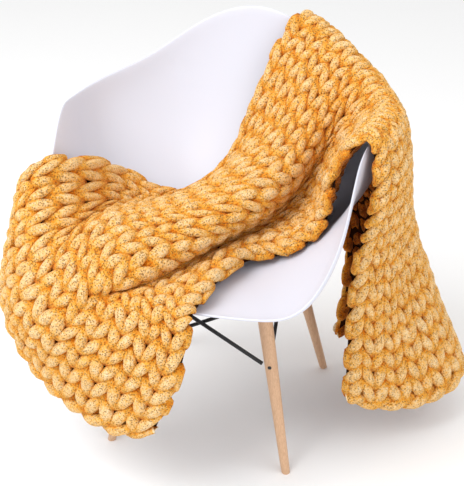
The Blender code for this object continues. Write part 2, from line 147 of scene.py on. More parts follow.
# One row for each section across the blanket, from the end of the tail to
# the other hem.  Each entry is the point (x, y, z) in cm where that section
# crosses the line in the same place in LINES.
SECTIONS = (
    ("tail_hem", (21, 18, 10), (30, 24, 11), (40, 25, 11),
     (48, 21, 10), (50, 11.5, 8.5), (44, 2.5, 8),
     (38.5, -2, 9), (33, -5, 10.5), (28, -8, 14)),
    ("tail_low", (22, 21, 29), (28, 25, 29), (35, 25, 28),
     (40.5, 20, 28), (42, 11.5, 27), (38.5, 4.5, 27),
     (36, 0, 27), (33, -4, 28), (28, -8, 30)),
    ("tail_waist", (17, 27.5, 50), (22.5, 27, 49), (28, 24.5, 48),
     (33, 20, 48), (35.5, 14, 47), (35.5, 8, 47),
     (34.5, 2, 47), (32.5, -3.5, 48), (29.5, -8.5, 49)),
    ("outside", (11, 31.3, 73), (17, 29.5, 70), (23.3, 26, 67),
     (28.5, 21.5, 65), (32.3, 16, 63.5), (34.2, 9.8, 63),
     (34.7, 4, 63), (34.2, -2, 63), (31.8, -8.2, 62)),
    ("arm_top", (8.5, 28.2, 82.3), (12.8, 27.2, 80.6), (17.2, 25, 78.1),
     (21.4, 21.9, 75.7), (25.4, 18.2, 73.6), (28.9, 13.6, 72),
     (31.3, 8.7, 71.5), (31.5, 1, 71.4), (29.5, -8.3, 70.6)),
    ("arm_in", (7, 26, 80), (11, 24.8, 78.5), (15.2, 22.5, 76.2),
     (19, 19.7, 73.9), (22.3, 16.8, 71), (25.3, 13.3, 68.3),
     (27.5, 8.5, 68.2), (28, 1, 68.6), (26.4, -7.8, 68.4)),
    ("back", (5, 23.5, 76), (9, 22, 75), (13, 19, 73),
     (16.5, 16.5, 70), (19, 14.5, 66), (21, 13.2, 61.2),
     (22.8, 8, 61), (24, 1.5, 61.8), (23.3, -7, 61.5)),
    ("back_low", (1.5, 18.5, 66), (4.5, 16.5, 65), (8, 13.5, 64),
     (11.5, 9.5, 62.5), (14.8, 6.5, 58), (14, 9.5, 52.8),
     (17.8, 6, 51.5), (20.8, 0, 52.8), (22.3, -7.5, 52.3)),
    ("seat_right", (-1.5, 13.2, 56), (0.5, 9.3, 54.6), (2.5, 4, 56.5),
     (6, -1, 57), (10.3, -3.5, 54.2), (8, 0.5, 47.2),
     (11.3, 0, 45.8), (13.8, -3.5, 47.3), (15.6, -8.5, 45.6)),
    ("seat_mid", (-7.7, 8.5, 49.8), (-8.5, 4.5, 48.3), (-7, -2, 51.5),
     (-2.5, -9.5, 53.5), (3.4, -10.5, 50.8), (1, -6.3, 45.6),
     (4, -6, 43.9), (6.4, -8, 45.3), (8.6, -10.8, 43.9)),
    ("seat_left", (-15.5, 6.5, 49.9), (-15.7, 1.5, 48), (-14.5, -7, 50.5),
     (-10, -15.5, 52.5), (-3.2, -19, 48.3), (-4.3, -17, 44.6),
     (-1, -18.2, 43.9), (2.3, -20.4, 45), (5.4, -23, 43.9)),
    ("left_wall", (-23.2, 3, 55.2), (-20.8, -4.5, 51.3), (-19.8, -13.5, 51.2),
     (-16.5, -21, 52), (-9.3, -27.5, 47.8), (-9.3, -26.3, 44.6),
     (-5, -27.5, 44.3), (0, -29.4, 44.1), (5, -30.5, 43.6)),
    ("left_in", (-25.5, -9, 61.8), (-24, -13.5, 56.5), (-22.3, -19.3, 51.8),
     (-20.3, -25.3, 50.2), (-14.5, -30, 46.5), (-13.5, -29.6, 44.4),
     (-8, -30.6, 43.5), (-2.5, -31.2, 42.5), (4.5, -31.7, 40.5)),
    ("left_rim", (-28.5, -16.2, 64.3), (-28.8, -20, 58), (-27, -24.2, 51.8),
     (-23.8, -28.3, 46.8), (-19, -31.2, 42), (-16.5, -31.4, 40.3),
     (-11, -32.2, 38.3), (-4.5, -32.7, 36.8), (3.5, -33, 33.8)),
    ("left_drop", (-32, -16.8, 61.5), (-32.9, -20, 54), (-32.7, -24.5, 46),
     (-30, -28.7, 39.8), (-25, -31.2, 35.5), (-20, -31.8, 33.2),
     (-14, -32.7, 31.3), (-6.5, -33.2, 29.5), (1.2, -33.3, 26)),
    ("hem", (-32, -15.3, 55), (-34.8, -17, 48), (-37.5, -19.2, 40),
     (-37.7, -20.8, 32), (-34.5, -23.2, 25.3), (-29, -26, 20.2),
     (-21.5, -29, 16.8), (-11.5, -32, 15), (-2.3, -33, 17.8)),
)


def natural_spline(knots, values, at):
    """Cubic spline with free ends through values[i] at knots[i]."""
    knots = np.asarray(knots, float)
    values = np.asarray(values, float)
    flat = values.reshape(len(knots), -1)
    n, h = len(knots), np.diff(knots)
    system, right = np.eye(n), np.zeros_like(flat)
    for i in range(1, n - 1):
        system[i, i - 1:i + 2] = h[i - 1], 2 * (h[i - 1] + h[i]), h[i]
        right[i] = 6 * ((flat[i + 1] - flat[i]) / h[i]
                        - (flat[i] - flat[i - 1]) / h[i - 1])
    bend = np.linalg.solve(system, right)
    k = np.clip(np.searchsorted(knots, at, side="right") - 1, 0, n - 2)
    a = ((knots[k + 1] - at) / h[k])[:, None]
    b = 1 - a
    step = (h[k] ** 2 / 6)[:, None]
    out = (a * flat[k] + b * flat[k + 1]
           + ((a ** 3 - a) * bend[k] + (b ** 3 - b) * bend[k + 1]) * step)
    return out.reshape((len(at),) + values.shape[1:])


def grid_normals(grid):
    """Unit normals of a grid of points, from its central differences."""
    normal = np.cross(np.gradient(grid, axis=0), np.gradient(grid, axis=1))
    return normal / np.linalg.norm(normal, axis=-1, keepdims=True)


def chord_knots(points, axis):
    """Knots that give each interval the square root of its mean length."""
    length = np.linalg.norm(np.diff(points, axis=axis), axis=-1)
    mean = length.mean(axis=1 - axis)
    return np.concatenate([[0.0], np.cumsum(np.sqrt(mean))])


def even_steps(fine, count):
    """Rows of a fine grid, closer together where the sheet bends."""
    step = np.diff(fine, axis=0)
    length = np.linalg.norm(step, axis=-1, keepdims=True)
    turn = np.linalg.norm(np.diff(step / length, axis=0), axis=-1)
    weight = length[1:, :, 0] + BEND_SPACING * turn
    total = np.concatenate([[0.0, 0.0], np.cumsum(weight.mean(axis=1))])
    total[1] = total[2] / 2
    wanted = np.linspace(0, total[-1], count + 1)
    return np.searchsorted(total, wanted).clip(0, len(fine) - 1)


def cloth_middle():
    """Middle surface of the knit: [tail to hem][back edge to front edge]."""
    points = np.array([row[1:] for row in SECTIONS], float) * CM
    knots = chord_knots(points, 0)
    fine = natural_spline(knots, points, np.linspace(0, knots[-1],
                                                 SPLINE_STEPS))
    rows = fine[even_steps(fine, CLOTH_LONG)].transpose(1, 0, 2)
    knots = chord_knots(points, 1)
    grid = natural_spline(knots, rows, np.linspace(0, knots[-1],
                                                   CLOTH_WIDE + 1))
    return grid.transpose(1, 0, 2)


def smooth_field(field, rounds):
    """Average a grid with its neighbours, edges kept in."""
    for _ in range(rounds):
        wide = np.pad(field, [(1, 1), (1, 1)] + [(0, 0)] * (field.ndim - 2),
                      mode="edge")
        field = (wide[1:-1, 1:-1] * 4 + wide[:-2, 1:-1] + wide[2:, 1:-1]
                 + wide[1:-1, :-2] + wide[1:-1, 2:]) / 8
    return field


def lift_clear(grid, chair, clear):
    """Move the sheet off the chair until it is clear of it everywhere."""
    for _ in range(LIFT_ROUNDS):
        push = np.zeros_like(grid)
        for i, j in np.ndindex(grid.shape[:2]):
            point = Vector(grid[i, j])
            near, _, _, distance = chair.find_nearest(point)
            if distance < clear:
                push[i, j] = ((point - near).normalized()
                              * (clear - distance))
        if not push.any():
            break
        grid = grid + np.where(np.abs(push) > 0, push, smooth_field(push, 2))
    return grid


def bend_radius(grid):
    """Tightest radius of the sheet at each point, in any direction."""
    along, across = np.gradient(grid, axis=0), np.gradient(grid, axis=1)
    along2, across2 = np.gradient(along, axis=0), np.gradient(across, axis=1)
    twist = np.gradient(along, axis=1)
    along2[1:-1] = grid[2:] - 2 * grid[1:-1] + grid[:-2]
    across2[:, 1:-1] = grid[:, 2:] - 2 * grid[:, 1:-1] + grid[:, :-2]
    normal = grid_normals(grid)

    def dot(a, b):
        return (a * b).sum(-1)

    e, f, g = dot(along, along), dot(along, across), dot(across, across)
    p, q, r = dot(along2, normal), dot(twist, normal), dot(across2, normal)
    size = np.maximum(e * g - f * f, 1e-12)
    mean = (e * r - 2 * f * q + g * p) / (2 * size)
    gauss = (p * r - q * q) / size
    most = np.abs(mean) + np.sqrt(np.maximum(mean ** 2 - gauss, 0))
    return 1 / np.maximum(most, 1.0)


def ease_folds(grid, rounds):
    """Open out any fold that turns tighter than the knit can bend."""
    for _ in range(rounds):
        tight = np.clip((BEND_OPEN - bend_radius(grid)) / BEND_TIGHT, 0, 1)
        share = smooth_field(tight, 2)[..., None] * 0.5
        grid = grid + share * (smooth_field(grid, 1) - grid)
    return grid


def smallest_near(field):
    """Each value becomes the smallest within one step of it."""
    wide = np.pad(field, 1, mode="edge")
    rows, cols = field.shape
    return np.min([wide[i:i + rows, j:j + cols]
                   for i in range(3) for j in range(3)], axis=0)


def cloth_half(grid, normal):
    """Half thickness: full in the open, pressed thinner in a tight fold."""
    rows, cols = grid.shape[:2]
    sheet = BVHTree.FromPolygons(
        [Vector(p) for p in grid.reshape(-1, 3)],
        [(i * cols + j, (i + 1) * cols + j, (i + 1) * cols + j + 1,
          i * cols + j + 1)
         for i in range(rows - 1) for j in range(cols - 1)])
    half = np.minimum(CLOTH_HALF, BEND_SHARE * bend_radius(grid))
    for i, j in np.ndindex(rows, cols):
        for side in (1, -1):
            away = Vector(normal[i, j]) * side
            hit = sheet.ray_cast(Vector(grid[i, j]) + away * PROBE_START,
                                 away, 4 * CLOTH_HALF)
            if hit[0] is not None:
                gap = hit[3] + PROBE_START
                half[i, j] = min(half[i, j], FOLD_SHARE * gap)
    half = np.maximum(half, CLOTH_LEAST)
    return np.minimum(smooth_field(smallest_near(half), 3), half)


def even_rows(grid, extra, count, count_across):
    """Resample a grid so that its rows and columns are evenly spaced.

    extra is carried along.  It has one number for each point of the grid.
    """
    both = np.concatenate([grid, extra[..., None]], axis=-1)
    knots = np.arange(grid.shape[0], dtype=float)
    both = natural_spline(knots, both,
                          np.linspace(0, knots[-1], FINE_ROWS))
    length = np.linalg.norm(np.diff(both[..., :3], axis=0), axis=-1)
    total = np.concatenate([[0.0], np.cumsum(length.mean(axis=1))])
    pick = np.interp(np.linspace(0, total[-1], count), total,
                     np.arange(float(FINE_ROWS)))
    low = np.minimum(pick.astype(int), FINE_ROWS - 2)
    part = (pick - low)[:, None, None]
    both = both[low] * (1 - part) + both[low + 1] * part
    knots = np.arange(grid.shape[1], dtype=float)
    both = natural_spline(knots, both.transpose(1, 0, 2),
                          np.linspace(0, knots[-1], FINE_COLUMNS))
    both = both.transpose(1, 0, 2)
    out = np.empty((count, count_across, 4))
    steps = np.linspace(0, 1, count_across)
    for i, row in enumerate(both):
        length = np.linalg.norm(np.diff(row[:, :3], axis=0), axis=-1)
        total = np.concatenate([[0.0], np.cumsum(length)])
        for k in range(4):
            out[i, :, k] = np.interp(steps * total[-1], total, row[:, k])
    return out[..., :3], out[..., 3]


class Drape:
    """The draped surface, ready to carry a flat knitted panel."""

    def __init__(self):
        shell = bpy.data.objects["chair_shell"]
        low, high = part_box("seat_plate")
        middle = (low + high) / 2
        shift = np.array([middle.x, middle.y - SEAT_MID_Y, 0.0])
        chair = BVHTree.FromPolygons(
            [v.co - Vector(shift) for v in shell.data.vertices],
            [list(face.vertices) for face in shell.data.polygons])
        clear = CLOTH_HALF + CLOTH_AIR
        grid = ease_folds(cloth_middle(), EASE_ROUNDS)
        for _ in range(SETTLE_ROUNDS):
            grid = ease_folds(lift_clear(grid, chair, clear), SETTLE_EASE)
        grid = lift_clear(grid, chair, clear)
        half = cloth_half(grid, grid_normals(grid)) / CLOTH_HALF
        self.points, self.press = even_rows(grid, half, DRAPE_ROWS,
                                            DRAPE_COLUMNS)
        self.points = self.points + shift
        self.normals = smooth_field(grid_normals(self.points), 6)
        self.normals /= np.linalg.norm(self.normals, axis=-1, keepdims=True)
        if self.normals[DRAPE_ROWS // 2, DRAPE_COLUMNS // 2, 2] < 0:
            self.normals = -self.normals

    def lay(self, flat, wide, long):
        """Carry flat points (across, along, height) onto the surface."""
        rows, cols = self.points.shape[:2]
        at_row = np.clip(flat[:, 1] / long, 0, 1) * (rows - 1)
        at_col = np.clip(flat[:, 0] / wide, 0, 1) * (cols - 1)
        i = np.minimum(at_row.astype(int), rows - 2)
        j = np.minimum(at_col.astype(int), cols - 2)
        a, b = at_row - i, at_col - j
        weights = (((1 - a) * (1 - b), 0, 0), (a * (1 - b), 1, 0),
                   ((1 - a) * b, 0, 1), (a * b, 1, 1))
        place = sum(w[:, None] * self.points[i + m, j + n]
                    for w, m, n in weights)
        out = sum(w[:, None] * self.normals[i + m, j + n]
                  for w, m, n in weights)
        press = sum(w * self.press[i + m, j + n] for w, m, n in weights)
        return place + out * (flat[:, 2] * press)[:, None]


# --------------------------------------------------------------- materials
def linear(hex_color):
    """sRGB hex colour to linear red, green, blue and alpha."""
    rgb = [int(hex_color[i:i + 2], 16) / 255 for i in (1, 3, 5)]
    return tuple(c / 12.92 if c < 0.04045 else ((c + 0.055) / 1.055) ** 2.4
                 for c in rgb) + (1.0,)


def add_node(tree, kind, values=(), links=(), **settings):
    """Add a node: its settings, its sockets' values and its links."""
    node = tree.nodes.new(kind)
    for name, value in settings.items():
        setattr(node, name, value)
    for socket, value in dict(values).items():
        node.inputs[socket].default_value = value
    for socket, source in dict(links).items():
        tree.links.new(source, node.inputs[socket])
    return node


def new_material(name):
    """A new material, its node tree and its shader."""
    mat = bpy.data.materials.new(name)
    mat.use_nodes = True
    tree = mat.node_tree
    return mat, tree, tree.nodes["Principled BSDF"]


def set_ramp(node, stops):
    """Give a colour ramp its stops, as pairs of place and colour."""
    ramp = node.color_ramp
    while len(ramp.elements) > len(stops):
        ramp.elements.remove(ramp.elements[-1])
    while len(ramp.elements) < len(stops):
        ramp.elements.new(1.0)
    for element, (place, color) in zip(ramp.elements, stops):
        element.position = place
        element.color = color


def chenille(settings):
    """Chenille yarn: short cut pile on a core, so it is soft and matt.

    Painted highlight on the crowns; painted deep orange shade where strands
    press together.  Small gaps in the pile get painted shade as dark specks.
    """
    mat, tree, shader = new_material("mustard_chenille_yarn")
    place = add_node(tree, "ShaderNodeTexCoord").outputs["Object"]
    crown = add_node(tree, "ShaderNodeAttribute", attribute_name="crown",
                     attribute_type="GEOMETRY").outputs["Fac"]
    shade_openness = add_node(tree, "ShaderNodeAttribute", attribute_name="painted_shade_openness",
                      attribute_type="GEOMETRY").outputs["Fac"]
    # Patches of lighter and darker pile, about 12 mm across.
    patch = add_node(tree, "ShaderNodeTexNoise",
                     {"Scale": 85.0, "Detail": 3.0}, {"Vector": place})
    # Tufts of pile, about 3 mm across.
    tuft = add_node(tree, "ShaderNodeTexNoise",
                    {"Scale": 330.0, "Detail": 2.0}, {"Vector": place})
    # Painted highlight from the crown, painted shade from how open the pile
    # is.
    total = add_node(tree, "ShaderNodeMath", {1: 0.22},
                     {0: crown}, operation="MULTIPLY")
    for share, source in ((0.62, shade_openness), (0.12, patch.outputs["Fac"]),
                          (0.24, tuft.outputs["Fac"])):
        total = add_node(tree, "ShaderNodeMath", {1: share},
                         {0: source, 2: total.outputs[0]},
                         operation="MULTIPLY_ADD")
    # Ramp: painted fold shade, painted recess shade, yarn colour, painted
    # highlight.
    ramp = add_node(tree, "ShaderNodeValToRGB", (),
                    {"Fac": total.outputs[0]})
    set_ramp(ramp, ((0.23, tuple(settings.painted_fold_shade_color) + (1,)),
                    (0.35, tuple(settings.painted_recess_shade_color) + (1,)),
                    (0.44, tuple(settings.yarn_color) + (1,)),
                    (0.58, tuple(settings.crown_color) + (1,))))
    # Painted shade in small pits of the pile: specks 2 mm wide, one about
    # every 4 mm.
    speck = add_node(tree, "ShaderNodeTexVoronoi", {"Scale": 270.0},
                     {"Vector": place})
    dark = add_node(tree, "ShaderNodeMapRange",
                    {"From Min": 0.16, "From Max": 0.40, "To Min": 1.0,
                     "To Max": 0.0}, {"Value": speck.outputs["Distance"]})
    tint = add_node(tree, "ShaderNodeMix", data_type="RGBA")
    tint.inputs[7].default_value = tuple(settings.painted_pit_shade_color) + (1,)
    share = add_node(tree, "ShaderNodeMath", {1: settings.painted_pit_shade_strength},
                     {0: dark.outputs["Result"]}, operation="MULTIPLY")
    tree.links.new(share.outputs[0], tint.inputs[0])
    tree.links.new(ramp.outputs["Color"], tint.inputs[6])
    tree.links.new(tint.outputs[2], shader.inputs["Base Color"])
    height = add_node(tree, "ShaderNodeMath", {1: -0.6},
                      {0: dark.outputs["Result"], 2: tuft.outputs["Fac"]},
                      operation="MULTIPLY_ADD")
    bump = add_node(tree, "ShaderNodeBump",
                    {"Strength": 1.0, "Distance": 0.0036},
                    {"Height": height.outputs[0]})
    tree.links.new(bump.outputs["Normal"], shader.inputs["Normal"])
    shader.inputs["Roughness"].default_value = 0.95
    shader.inputs["Specular IOR Level"].default_value = 0.15
    shader.inputs["Sheen Weight"].default_value = 0.25
    shader.inputs["Sheen Roughness"].default_value = 0.5
    shader.inputs["Sheen Tint"].default_value = linear("#FFE2B0")
    return mat


def painted_gap_shadow_material(settings):
    """A dark sheet of painted shadow, seen through the knit's gaps."""
    mat, tree, shader = new_material("painted_gap_shadow")
    place = add_node(tree, "ShaderNodeTexCoord").outputs["Object"]
    grain = add_node(tree, "ShaderNodeTexNoise",
                     {"Scale": 300.0, "Detail": 2.0}, {"Vector": place})
    ramp = add_node(tree, "ShaderNodeValToRGB", (),
                    {"Fac": grain.outputs["Fac"]})
    # Painted shadow: dark brown, darker still in fine random grains.
    color = tuple(settings.painted_gap_shadow_color) + (1,)
    darker = tuple(c * 0.55 for c in settings.painted_gap_shadow_color) + (1,)
    set_ramp(ramp, ((0.35, darker), (0.7, color)))
    tree.links.new(ramp.outputs["Color"], shader.inputs["Base Color"])
    bump = add_node(tree, "ShaderNodeBump",
                    {"Strength": 0.5, "Distance": 0.001},
                    {"Height": grain.outputs["Fac"]})
    tree.links.new(bump.outputs["Normal"], shader.inputs["Normal"])
    shader.inputs["Roughness"].default_value = 1.0
    shader.inputs["Specular IOR Level"].default_value = 0.1
    return mat


def moulded_plastic(color):
    """Polypropylene, moulded in a finely etched tool: a satin white."""
    mat, tree, shader = new_material("white_polypropylene")
    place = add_node(tree, "ShaderNodeTexCoord").outputs["Object"]
    # The etched grain is 0.3 mm; it is drawn at 1.2 mm so that it shows.
    grain = add_node(tree, "ShaderNodeTexNoise",
                     {"Scale": 830.0, "Detail": 2.0}, {"Vector": place})
    cloud = add_node(tree, "ShaderNodeTexNoise",
                     {"Scale": 6.0, "Detail": 2.0}, {"Vector": place})
    rough = add_node(tree, "ShaderNodeMapRange",
                     {"To Min": 0.34, "To Max": 0.46},
                     {"Value": cloud.outputs["Fac"]})
    bump = add_node(tree, "ShaderNodeBump",
                    {"Strength": 0.12, "Distance": 0.0003},
                    {"Height": grain.outputs["Fac"]})
    tree.links.new(rough.outputs["Result"], shader.inputs["Roughness"])
    tree.links.new(bump.outputs["Normal"], shader.inputs["Normal"])
    shader.inputs["Base Color"].default_value = tuple(color) + (1,)
    shader.inputs["IOR"].default_value = 1.49
    return mat


def beech(light, dark):
    """Turned beech: straight fine grain with short darker flecks."""
    mat, tree, shader = new_material("lacquered_beech")
    place = add_node(tree, "ShaderNodeTexCoord").outputs["Object"]
    # Grain lines run up the leg, 1 to 2 mm apart and about 60 mm long.
    long_way = add_node(tree, "ShaderNodeMapping",
                        {"Scale": (1.0, 1.0, 0.03)}, {"Vector": place})
    grain = add_node(tree, "ShaderNodeTexNoise",
                     {"Scale": 520.0, "Detail": 3.0, "Roughness": 0.6},
                     {"Vector": long_way.outputs["Vector"]})
    fleck_way = add_node(tree, "ShaderNodeMapping",
                         {"Scale": (1.0, 1.0, 0.12)}, {"Vector": place})
    fleck = add_node(tree, "ShaderNodeTexVoronoi", {"Scale": 420.0},
                     {"Vector": fleck_way.outputs["Vector"]})
    spots = add_node(tree, "ShaderNodeMapRange",
                     {"From Min": 0.05, "From Max": 0.22, "To Min": 0.35,
                      "To Max": 0.0}, {"Value": fleck.outputs["Distance"]})
    total = add_node(tree, "ShaderNodeMath", {},
                     {0: grain.outputs["Fac"], 1: spots.outputs["Result"]},
                     operation="ADD")
    ramp = add_node(tree, "ShaderNodeValToRGB", (),
                    {"Fac": total.outputs[0]})
    set_ramp(ramp, ((0.35, tuple(light) + (1,)), (0.85, tuple(dark) + (1,))))
    tree.links.new(ramp.outputs["Color"], shader.inputs["Base Color"])
    bump = add_node(tree, "ShaderNodeBump",
                    {"Strength": 0.15, "Distance": 0.0002},
                    {"Height": grain.outputs["Fac"]})
    tree.links.new(bump.outputs["Normal"], shader.inputs["Normal"])
    shader.inputs["Roughness"].default_value = 0.42
    shader.inputs["Coat Weight"].default_value = 0.15
    return mat


def powder_coat(name, color, roughness):
    """Black powder coat on steel, or black rubber: dull with a fine grain."""
    mat, tree, shader = new_material(name)
    place = add_node(tree, "ShaderNodeTexCoord").outputs["Object"]
    grain = add_node(tree, "ShaderNodeTexNoise",
                     {"Scale": 1200.0, "Detail": 1.0}, {"Vector": place})
    spread = add_node(tree, "ShaderNodeMapRange",
                      {"To Min": roughness - 0.08, "To Max": roughness + 0.1},
                      {"Value": grain.outputs["Fac"]})
    bump = add_node(tree, "ShaderNodeBump",
                    {"Strength": 0.2, "Distance": 0.0002},
                    {"Height": grain.outputs["Fac"]})
    tree.links.new(spread.outputs["Result"], shader.inputs["Roughness"])
    tree.links.new(bump.outputs["Normal"], shader.inputs["Normal"])
    shader.inputs["Base Color"].default_value = tuple(color) + (1,)
    return mat


# ------------------------------------------------------------ making pieces
def link(obj):
    """Put an object in the scene."""
    bpy.context.scene.collection.objects.link(obj)
    return obj


def curve_tube(paths, radii, radius, rounding):
    """A mesh of round yarn that follows each path, with closed ends."""
    curve = bpy.data.curves.new("yarn_path", "CURVE")
    curve.dimensions = "3D"
    curve.bevel_depth = radius
    curve.bevel_resolution = rounding
    curve.use_fill_caps = True
    for path, scale in zip(paths, radii):
        spline = curve.splines.new("POLY")
        spline.points.add(len(path) - 1)
        four = np.concatenate([path, np.ones((len(path), 1))], axis=1)
        spline.points.foreach_set("co", four.astype(np.float32).ravel())
        spline.points.foreach_set("radius", scale.astype(np.float32))
    obj = link(bpy.data.objects.new("yarn_path", curve))
    depsgraph = bpy.context.evaluated_depsgraph_get()
    mesh = bpy.data.meshes.new_from_object(obj.evaluated_get(depsgraph))
    bpy.data.objects.remove(obj, do_unlink=True)
    bpy.data.curves.remove(curve)
    return mesh


def mesh_vectors(mesh, name):
    """The places ("co") or directions ("normal") of a mesh's vertices."""
    flat = np.empty(len(mesh.vertices) * 3, np.float32)
    mesh.vertices.foreach_get(name, flat)
    return flat.reshape(-1, 3).astype(float)


def finish_piece(name, mesh, mat):
    """Make a mesh a visible piece that rides the one body."""
    mesh.name = name
    mesh.materials.clear()
    mesh.materials.append(mat)
    mesh.shade_smooth()
    obj = link(bpy.data.objects.new(name, mesh))
    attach(obj, "root")
    return obj


def smooth_copy(node, finish, levels):
    """A smooth piece of the same shape as a CAD node, with rounded edges."""
    shape = bmesh.new()
    shape.from_mesh(bpy.data.objects[node].data)
    bmesh.ops.remove_doubles(shape, verts=shape.verts[:], dist=MERGE)
    bmesh.ops.join_triangles(shape, faces=shape.faces[:],
                             angle_face_threshold=FLAT_ANGLE,
                             angle_shape_threshold=SHAPE_ANGLE)
    for edge in shape.edges:
        sharp = edge.is_manifold and edge.calc_face_angle() > SHARP_ANGLE
        edge.smooth = not sharp or levels > 0
    if not levels:
        sharp = [edge for edge in shape.edges if not edge.smooth]
        bmesh.ops.bevel(shape, geom=sharp, offset=EDGE_ROUND, segments=2,
                        profile=0.5, affect="EDGES", material=-1,
                        clamp_overlap=True)
        for edge in shape.edges:
            edge.smooth = True
    mesh = bpy.data.meshes.new(node + "_finished")
    shape.to_mesh(mesh)
    shape.free()
    piece = finish_piece(node + "_finished", mesh, finish)
    if levels:
        smoother = piece.modifiers.new("smoother", "SUBSURF")
        smoother.levels = smoother.render_levels = levels
    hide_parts(node)
    return piece


def stitch_rows(knit, first, last):
    """One yarn through rows first to last, turning at each side, flat.

    A stitch is one turn of the path.  Its legs come to the front and its
    head and feet go behind, so each row holds the next.
    """
    wide = (knit.flat_wide - 2 * knit.side_margin) / knit.columns
    tall = (knit.flat_long - 2 * knit.end_margin) / knit.rows
    rng = np.random.default_rng(knit.seed + first)
    turn = np.arange(knit.columns * knit.steps + 1) / knit.steps
    part = turn * 2 * math.pi
    knots = np.arange(2 * knit.columns + 1) / 2
    path, scale = [], []

    def uneven(amount):
        """A smooth random wander along the row, by up to twice amount."""
        return amount * np.interp(turn, knots, rng.normal(
            0, 1, len(knots)).clip(-2, 2))

    for row in range(first, last):
        x = (turn - knit.splay * np.sin(2 * part)) * wide
        x = x + uneven(STRAY_ACROSS)
        y = -knit.reach * tall * np.cos(part) * (1 + uneven(STRAY_REACH))
        z = -knit.depth * np.cos(2 * part) + uneven(STRAY_DEPTH)
        y = y + (row + 0.5) * tall + knit.end_margin
        points = np.stack([x + knit.side_margin, y, z], axis=1)
        plump = (1 - PINCH * np.cos(2 * part)) * (1 + uneven(STRAY_PLUMP))
        if row % 2:
            points, plump = points[::-1], plump[::-1]
        path.append(points)
        scale.append(plump)
        if row < last - 1:
            side = 1 if row % 2 == 0 else -1
            start = points[-1]
            for k in range(1, TURN_STEPS):
                angle = math.pi * k / TURN_STEPS
                path.append([[start[0] + side * TURN_OUT * math.sin(angle),
                              start[1] + tall * (1 - math.cos(angle)) / 2,
                              -knit.depth + TURN_LIFT * math.sin(angle)]])
                scale.append([TURN_PLUMP])
    return [np.concatenate(path)], [np.concatenate(scale)]


# ------------------------------------------------- sizes that a user sets
class KnitSettings(bpy.types.PropertyGroup):
    """Sizes and colours of the knitted blanket."""
    columns: bpy.props.IntProperty(
        name="Stitches Across", default=11, min=4,
        description="How many columns of stitches the panel has")
    rows: bpy.props.IntProperty(
        name="Rows", default=40, min=8,
        description="How many rows of stitches the panel has")
    flat_wide: bpy.props.FloatProperty(
        name="Flat Width", default=0.60, unit="LENGTH",
        description="Width of the panel before it is draped")
    flat_long: bpy.props.FloatProperty(
        name="Flat Length", default=1.68, unit="LENGTH",
        description="Length of the panel before it is draped")
    yarn_radius: bpy.props.FloatProperty(
        name="Yarn Radius", default=mm(11.8), unit="LENGTH",
        description="Radius of the yarn, seen from above the knit")
    flatten: bpy.props.FloatProperty(
        name="Yarn Flattening", default=0.84, min=0.3, max=1.0,
        subtype="FACTOR",
        description="Thickness of the yarn as a share of its width")
    depth: bpy.props.FloatProperty(
        name="Stitch Depth", default=mm(7), unit="LENGTH",
        description="How far the yarn goes in front and behind")
    reach: bpy.props.FloatProperty(
        name="Stitch Reach", default=0.84,
        description="Half height of one stitch, in rows")
    splay: bpy.props.FloatProperty(
        name="Stitch Splay", default=0.06,
        description="How far each leg of a stitch leans, in stitches")
    steps: bpy.props.IntProperty(
        name="Points Per Stitch", default=36, min=8,
        description="How finely the yarn's path is drawn")
    side_margin: bpy.props.FloatProperty(
        name="Side Margin", default=mm(14), unit="LENGTH",
        description="Room for the yarn's turn at each side")
    end_margin: bpy.props.FloatProperty(
        name="End Margin", default=mm(26), unit="LENGTH",
        description="Room for the twisted edge at each end")
    edge_radius: bpy.props.FloatProperty(
        name="Edge Strand Radius", default=mm(12), unit="LENGTH",
        description="Radius of each strand in the cast-on and cast-off edge")
    edge_twist: bpy.props.FloatProperty(
        name="Edge Twist Length", default=mm(92), unit="LENGTH",
        description="Length of one full twist along the edge")
    seed: bpy.props.IntProperty(
        name="Seed", default=7,
        description="Start of the hand knitter's unevenness")
    yarn_color: bpy.props.FloatVectorProperty(
        name="Yarn Color", subtype="COLOR", size=3, min=0, max=1,
        default=linear("#F1AD40")[:3],
        description="Colour of the pile on the sides of a strand")
    # Painted highlight on the crowns of the strands.
    crown_color: bpy.props.FloatVectorProperty(
        name="Crown Color", subtype="COLOR", size=3, min=0, max=1,
        default=linear("#FFE8BC")[:3],
        description="Colour of the pile on top of a strand")
    # Painted shade between strands.
    painted_recess_shade_color: bpy.props.FloatVectorProperty(
        name="Recess Color", subtype="COLOR", size=3, min=0, max=1,
        default=linear("#DA7603")[:3],
        description="Colour of the pile between strands")
    # Painted shade deep in the folds.
    painted_fold_shade_color: bpy.props.FloatVectorProperty(
        name="Deep Color", subtype="COLOR", size=3, min=0, max=1,
        default=linear("#8A3F00")[:3],
        description="Colour of the pile deep in the folds")
    # Painted shadow on the sheet seen through the knit's gaps.
    painted_gap_shadow_color: bpy.props.FloatVectorProperty(
        name="Ground Color", subtype="COLOR", size=3, min=0, max=1,
        default=linear("#3A1C05")[:3],
        description="Colour of the knit's shaded inside")
    # Painted shade in the small gaps of the pile.
    painted_pit_shade_color: bpy.props.FloatVectorProperty(
        name="Speck Color", subtype="COLOR", size=3, min=0, max=1,
        default=linear("#8A4A12")[:3],
        description="Colour of the small gaps in the pile")
    painted_pit_shade_strength: bpy.props.FloatProperty(
        name="Speck Strength", default=0.65, min=0, max=1,
        subtype="FACTOR",
        description="How strongly the gaps in the pile show")


